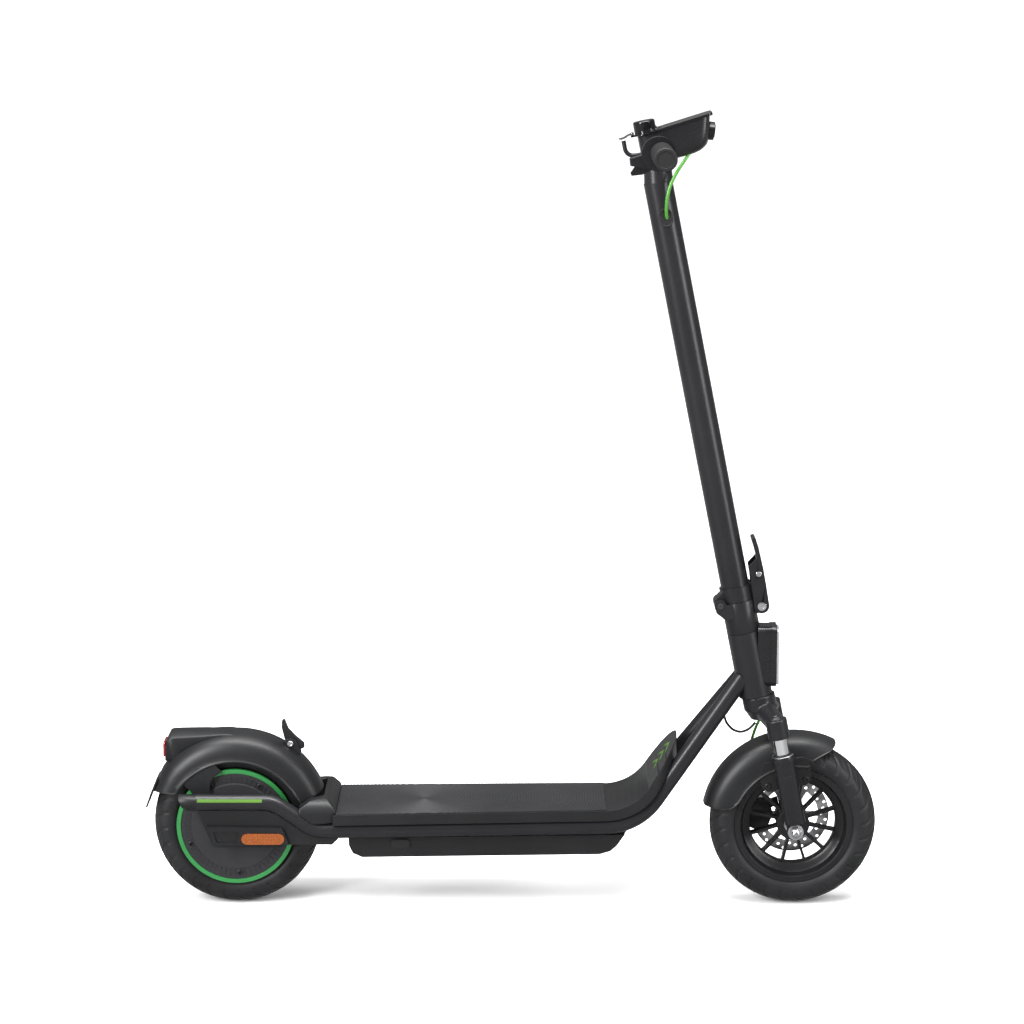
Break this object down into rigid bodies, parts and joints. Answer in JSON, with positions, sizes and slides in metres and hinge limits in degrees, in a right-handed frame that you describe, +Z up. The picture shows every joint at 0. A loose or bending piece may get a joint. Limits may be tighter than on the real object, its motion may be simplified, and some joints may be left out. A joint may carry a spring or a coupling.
{
  "type": "electric kick scooter",
  "caption": "Folding electric kick scooter with a sprung front fork, hub-motor rear wheel, under-deck battery box, mudguards, thumb throttle, hand brake and folding latch.",
  "frame": {"origin": "centre of the overall box, on the ground under the scooter", "axes": "+X forward, +Y to the rider's left, +Z up; the stem is in its riding position and the wheels point straight ahead"},
  "size_m": [1.12, 0.54, 1.2116],
  "materials": {
    "frame_paint": "satin black powder coat",
    "black_plastic": "fine-grained moulded black",
    "gloss_plastic": "glossy black",
    "grip_rubber": "soft black rubber",
    "tyre_rubber": "road tyre",
    "rim_black": "satin black",
    "ring_green": "satin green",
    "strip_green": "satin yellow-green",
    "cable_green": "bright green cable jacket",
    "cable_black": "black cable jacket",
    "amber_lens": "amber reflector",
    "red_lens": "red lamp window",
    "clear_lens": "clear lamp window",
    "polished_steel": "hard chrome",
    "plain_steel": "bright zinc",
    "caliper_black": "black anodised",
    "pack_wrap": "shrink wrap"
  },
  "bodies": {
    "frame": {"head_tube": "frame_paint", "frame_tube_right": "frame_paint", "frame_tube_left": "frame_paint", "headset_bearings": "plain_steel", "arm_end_caps": "black_plastic", "side_strips": "strip_green", "deck_shell": "black_plastic", "deck_mat": "grip_rubber", "rear_cover": "black_plastic", "battery_box": "black_plastic", "battery_pack": "pack_wrap", "controller": "caliper_black", "headlight_case": "black_plastic", "headlight_lens": "clear_lens", "side_covers": "black_plastic", "side_reflectors": "amber_lens", "motor_stator": "plain_steel", "rear_fender": "black_plastic", "tail_lens": "red_lens", "mud_flap": "grip_rubber", "kickstand_bracket": "frame_paint", "loop_cable": "cable_black"},
    "steerer": {"fork_crown": "frame_paint", "stanchions": "polished_steel", "fork_springs": "plain_steel", "fold_base": "frame_paint", "fold_pins": "plain_steel", "lower_cable": "cable_green"},
    "fork_lower": {"fork_legs": "frame_paint", "front_axle": "plain_steel", "front_fender": "black_plastic", "brake_calliper": "caliper_black"},
    "front_wheel": {"front_tyre": "tyre_rubber", "front_rim": "rim_black", "front_bearings": "plain_steel", "brake_rotor": "plain_steel"},
    "rear_wheel": {"rear_tyre": "tyre_rubber", "motor_shell": "rim_black", "rim_ring": "ring_green", "motor_cover": "rim_black"},
    "stem": {"stem_tube": "frame_paint", "stem_neck": "black_plastic", "head_housing": "black_plastic", "display_panel": "gloss_plastic", "handlebar": "frame_paint", "grips": "grip_rubber", "throttle_body": "black_plastic", "brake_perch": "frame_paint", "bell_body": "gloss_plastic", "bag_hook": "frame_paint", "brake_cable": "cable_green"},
    "latch": {"fold_lever": "frame_paint", "latch_link": "plain_steel"},
    "throttle": {"throttle_paddle": "black_plastic"},
    "brake": {"brake_lever": "frame_paint"},
    "striker": {"bell_striker": "plain_steel"},
    "button": {"power_button": "gloss_plastic"},
    "stand": {"kickstand": "frame_paint"},
    "claw": {"fender_hook": "black_plastic"},
    "port_cap": {"charge_cap": "grip_rubber"}
  },
  "joints": [
    {"name": "steering", "type": "hinge", "parent": "frame", "child": "steerer", "pos_m": [0.36333, 0, 0.37747], "axis": [-0.1968, 0, 0.9804], "range_deg": [-55, 55], "deforming": ["loop_cable"]},
    {"name": "suspension", "type": "slide", "parent": "steerer", "child": "fork_lower", "axis": [-0.1968, 0, 0.9804], "range_m": [0, 0.018], "stiffness_N_per_m": 12000, "springref_m": -0.012, "deforming": ["fork_springs", "lower_cable"]},
    {"name": "front_wheel_spin", "type": "hinge", "parent": "fork_lower", "child": "front_wheel", "pos_m": [0.4325, 0, 0.1275], "axis": [0, 1, 0], "continuous": true},
    {"name": "rear_wheel_spin", "type": "hinge", "parent": "frame", "child": "rear_wheel", "pos_m": [-0.4215, 0, 0.1275], "axis": [0, 1, 0], "continuous": true},
    {"name": "stem_fold", "type": "hinge", "parent": "steerer", "child": "stem", "pos_m": [0.3162, 0, 0.47001], "axis": [0, -1, 0], "range_deg": [0, 92]},
    {"name": "latch_lever", "type": "hinge", "parent": "steerer", "child": "latch", "pos_m": [0.37933, 0, 0.46901], "axis": [0, 1, 0], "range_deg": [0, 100]},
    {"name": "throttle_press", "type": "hinge", "parent": "stem", "child": "throttle", "pos_m": [0.21148, -0.137, 1.15938], "axis": [0, -1, 0], "range_deg": [0, 25], "stiffness_Nm_per_rad": 0.3, "springref_deg": -11.46},
    {"name": "brake_pull", "type": "hinge", "parent": "stem", "child": "brake", "pos_m": [0.24383, 0.118, 1.16587], "axis": [-0.1968, 0, 0.9804], "range_deg": [0, 13], "stiffness_Nm_per_rad": 2, "springref_deg": -5.73},
    {"name": "bell_flick", "type": "hinge", "parent": "stem", "child": "striker", "pos_m": [0.18068, 0.078, 1.17308], "axis": [-0.1968, 0, 0.9804], "range_deg": [0, 30], "stiffness_Nm_per_rad": 0.02, "springref_deg": -17.19},
    {"name": "power_press", "type": "slide", "parent": "stem", "child": "button", "axis": [0.2992, 0, -0.9542], "range_m": [0, 0.0012], "stiffness_N_per_m": 500, "springref_m": -0.001},
    {"name": "stand_swing", "type": "hinge", "parent": "frame", "child": "stand", "pos_m": [-0.04, 0.074, 0.111], "axis": [0.1217, -0.9733, -0.1947], "range_deg": [0, 100]},
    {"name": "claw_release", "type": "hinge", "parent": "frame", "child": "claw", "pos_m": [-0.3383, 0, 0.251], "axis": [0, 1, 0], "range_deg": [0, 12], "stiffness_Nm_per_rad": 0.5, "springref_deg": -11.46},
    {"name": "port_cap_hinge", "type": "hinge", "parent": "frame", "child": "port_cap", "pos_m": [-0.1686, -0.0589, 0.11316], "axis": [-1, 0, 0], "range_deg": [0, 100]}
  ]
}
